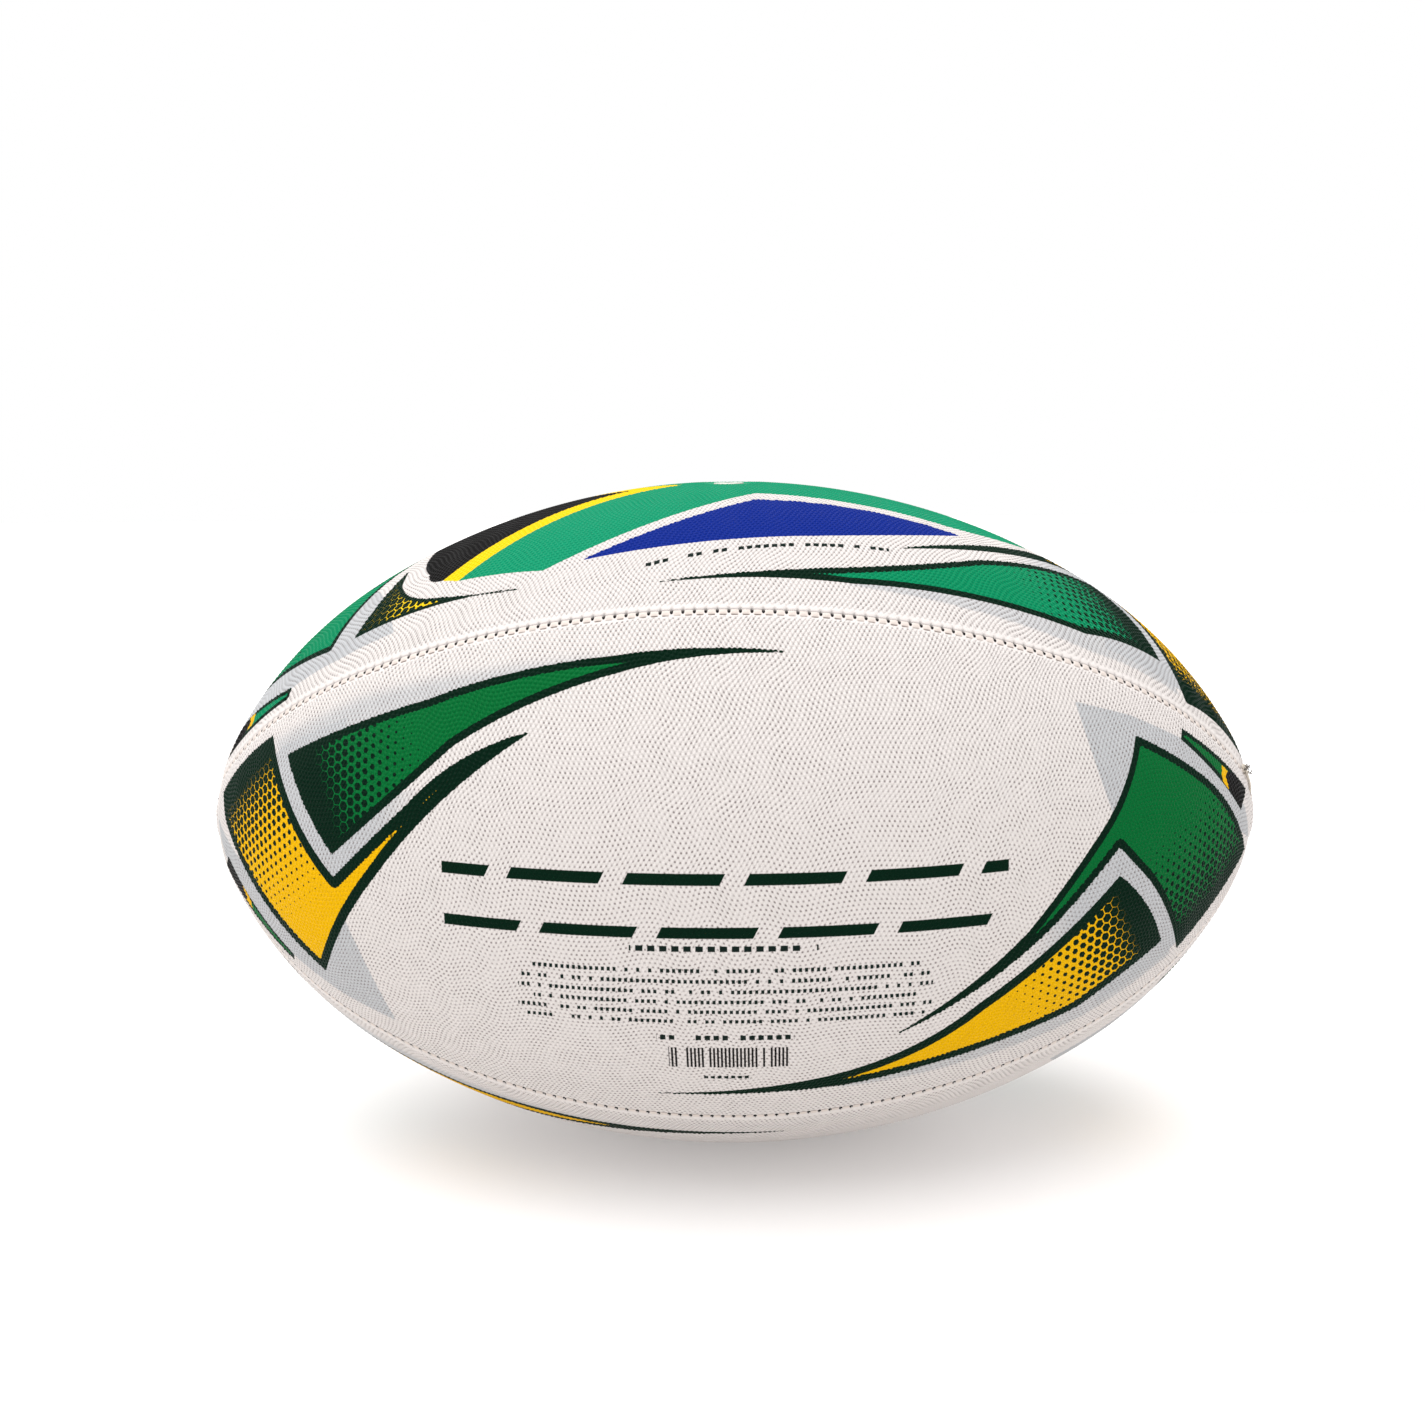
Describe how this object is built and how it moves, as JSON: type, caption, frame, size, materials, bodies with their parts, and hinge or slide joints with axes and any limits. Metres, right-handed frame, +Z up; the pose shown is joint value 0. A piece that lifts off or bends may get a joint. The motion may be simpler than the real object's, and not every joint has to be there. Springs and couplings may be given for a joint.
{
  "type": "rugby ball",
  "caption": "Oval rugby ball: stitched rubber panels backed with fabric plies, a bladder inside and a needle valve in the side.",
  "frame": {"origin": "centre of the ball, halfway along the long axis", "axes": "+X along the long axis towards the closing knot's end, +Z up through the valve in the top panel, +Y to the back panel"},
  "size_m": [0.295, 0.188, 0.188],
  "materials": {
    "cover_rubber": "satin",
    "cotton_ply": "matte",
    "polyester_ply": "matte",
    "bladder_rubber": "satin",
    "patch_rubber": "matte",
    "valve_rubber": "satin",
    "insert_rubber": "satin",
    "thread": "matte"
  },
  "bodies": {
    "root": {"cover_top": "cover_rubber", "cover_front": "cover_rubber", "cover_bottom": "cover_rubber", "cover_back": "cover_rubber", "outer_ply_top": "cotton_ply", "outer_ply_front": "cotton_ply", "outer_ply_bottom": "cotton_ply", "outer_ply_back": "cotton_ply", "middle_ply_top": "polyester_ply", "middle_ply_front": "polyester_ply", "middle_ply_bottom": "polyester_ply", "middle_ply_back": "polyester_ply", "inner_ply_top": "cotton_ply", "inner_ply_front": "cotton_ply", "inner_ply_bottom": "cotton_ply", "inner_ply_back": "cotton_ply", "bladder": "bladder_rubber", "valve_patch": "patch_rubber", "valve_housing": "valve_rubber", "valve_insert": "insert_rubber", "seam_thread_top_back": "thread", "seam_thread_top_front": "thread", "seam_thread_bottom_front": "thread", "seam_thread_bottom_back": "thread", "closing_knot": "thread"}
  },
  "joints": []
}
